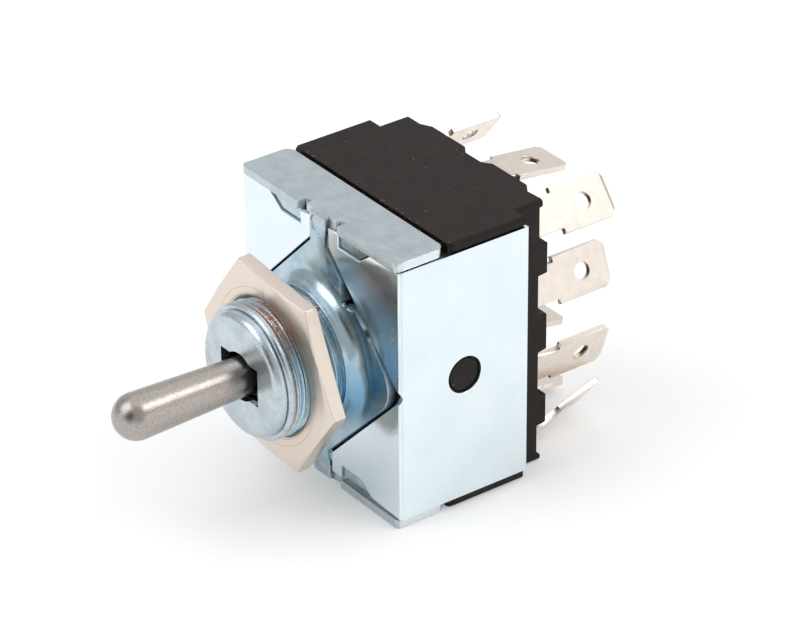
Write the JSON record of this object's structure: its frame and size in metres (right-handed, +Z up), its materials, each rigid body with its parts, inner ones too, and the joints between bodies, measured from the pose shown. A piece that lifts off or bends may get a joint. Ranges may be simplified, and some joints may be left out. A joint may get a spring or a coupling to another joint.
{
  "type": "panel toggle switch",
  "caption": "Four-pole panel toggle switch with a threaded bushing, bat lever, folded zinc-plated frame, black case and blade terminals.",
  "frame": {"origin": "on the bushing's axis, in the front face of the flange", "axes": "+X right seen from the front, +Y to the terminals along the bushing's axis, +Z up"},
  "size_m": [0.0336, 0.069, 0.0384],
  "materials": {
    "zinc_frame": "satin zinc plate, blue passivated",
    "zinc_plate": "bright zinc plate, blue passivated",
    "nickel_nut": "satin nickel plate",
    "lever_steel": "satin turned steel",
    "case_black": "moulded, fine matt grain",
    "tinned_brass": "satin tin plate",
    "nylon": "moulded natural nylon",
    "inner_steel": "drawn steel",
    "rocker_brass": "rolled brass",
    "contact_silver": "silver rivet"
  },
  "bodies": {
    "root": {"bushing_frame": "zinc_frame", "side_plate_left": "zinc_plate", "side_plate_right": "zinc_plate", "pivot_pin": "inner_steel", "pin_retainer": "inner_steel", "case": "case_black", "fixed_contact_1_left": "contact_silver", "fixed_contact_1_right": "contact_silver", "fixed_contact_2_left": "contact_silver", "fixed_contact_2_right": "contact_silver", "fixed_contact_3_left": "contact_silver", "fixed_contact_3_right": "contact_silver", "fixed_contact_4_left": "contact_silver", "fixed_contact_4_right": "contact_silver", "terminal_1_left": "tinned_brass", "terminal_1_middle": "tinned_brass", "terminal_1_right": "tinned_brass", "terminal_2_left": "tinned_brass", "terminal_2_middle": "tinned_brass", "terminal_2_right": "tinned_brass", "terminal_3_left": "tinned_brass", "terminal_3_middle": "tinned_brass", "terminal_3_right": "tinned_brass", "terminal_4_left": "tinned_brass", "terminal_4_middle": "tinned_brass", "terminal_4_right": "tinned_brass"},
    "lever": {"lever": "lever_steel"},
    "actuator": {"actuator": "nylon", "plunger_1": "inner_steel", "plunger_2": "inner_steel", "plunger_3": "inner_steel", "plunger_4": "inner_steel", "plunger_spring_1": "inner_steel", "plunger_spring_2": "inner_steel", "plunger_spring_3": "inner_steel", "plunger_spring_4": "inner_steel"},
    "nut": {"hex_nut": "nickel_nut"},
    "rocker_1": {"rocker_1": "rocker_brass", "moving_contacts_1": "contact_silver"},
    "rocker_2": {"rocker_2": "rocker_brass", "moving_contacts_2": "contact_silver"},
    "rocker_3": {"rocker_3": "rocker_brass", "moving_contacts_3": "contact_silver"},
    "rocker_4": {"rocker_4": "rocker_brass", "moving_contacts_4": "contact_silver"}
  },
  "joints": [
    {"name": "lever_swing", "type": "hinge", "parent": "root", "child": "lever", "pos_m": [0, -0.0073, 0], "axis": [0, 0, 1], "range_deg": [-12, 12]},
    {"name": "actuator_slide", "type": "slide", "parent": "root", "child": "actuator", "axis": [1, 0, 0], "range_m": [-0.00288, 0.00288]},
    {"name": "nut_spin", "type": "hinge", "parent": "root", "child": "nut", "pos_m": [0, -0.00718, 0], "axis": [0, 1, 0], "continuous": true},
    {"name": "rocker_1_tilt", "type": "hinge", "parent": "root", "child": "rocker_1", "pos_m": [0, 0.01955, 0.01465], "axis": [0, 0, 1], "range_deg": [-7.05, 7.05]},
    {"name": "rocker_2_tilt", "type": "hinge", "parent": "root", "child": "rocker_2", "pos_m": [0, 0.01955, 0.00375], "axis": [0, 0, 1], "range_deg": [-7.05, 7.05]},
    {"name": "rocker_3_tilt", "type": "hinge", "parent": "root", "child": "rocker_3", "pos_m": [0, 0.01955, -0.00445], "axis": [0, 0, 1], "range_deg": [-7.05, 7.05]},
    {"name": "rocker_4_tilt", "type": "hinge", "parent": "root", "child": "rocker_4", "pos_m": [0, 0.01955, -0.01465], "axis": [0, 0, 1], "range_deg": [-7.05, 7.05]}
  ],
  "couplings": [
    {"joint": "actuator_slide", "follows": "lever_swing", "m_per_rad": -0.013699},
    {"joint": "rocker_1_tilt", "follows": "lever_swing", "ratio": -0.5833},
    {"joint": "rocker_2_tilt", "follows": "lever_swing", "ratio": -0.5833},
    {"joint": "rocker_3_tilt", "follows": "lever_swing", "ratio": -0.5833},
    {"joint": "rocker_4_tilt", "follows": "lever_swing", "ratio": -0.5833}
  ]
}
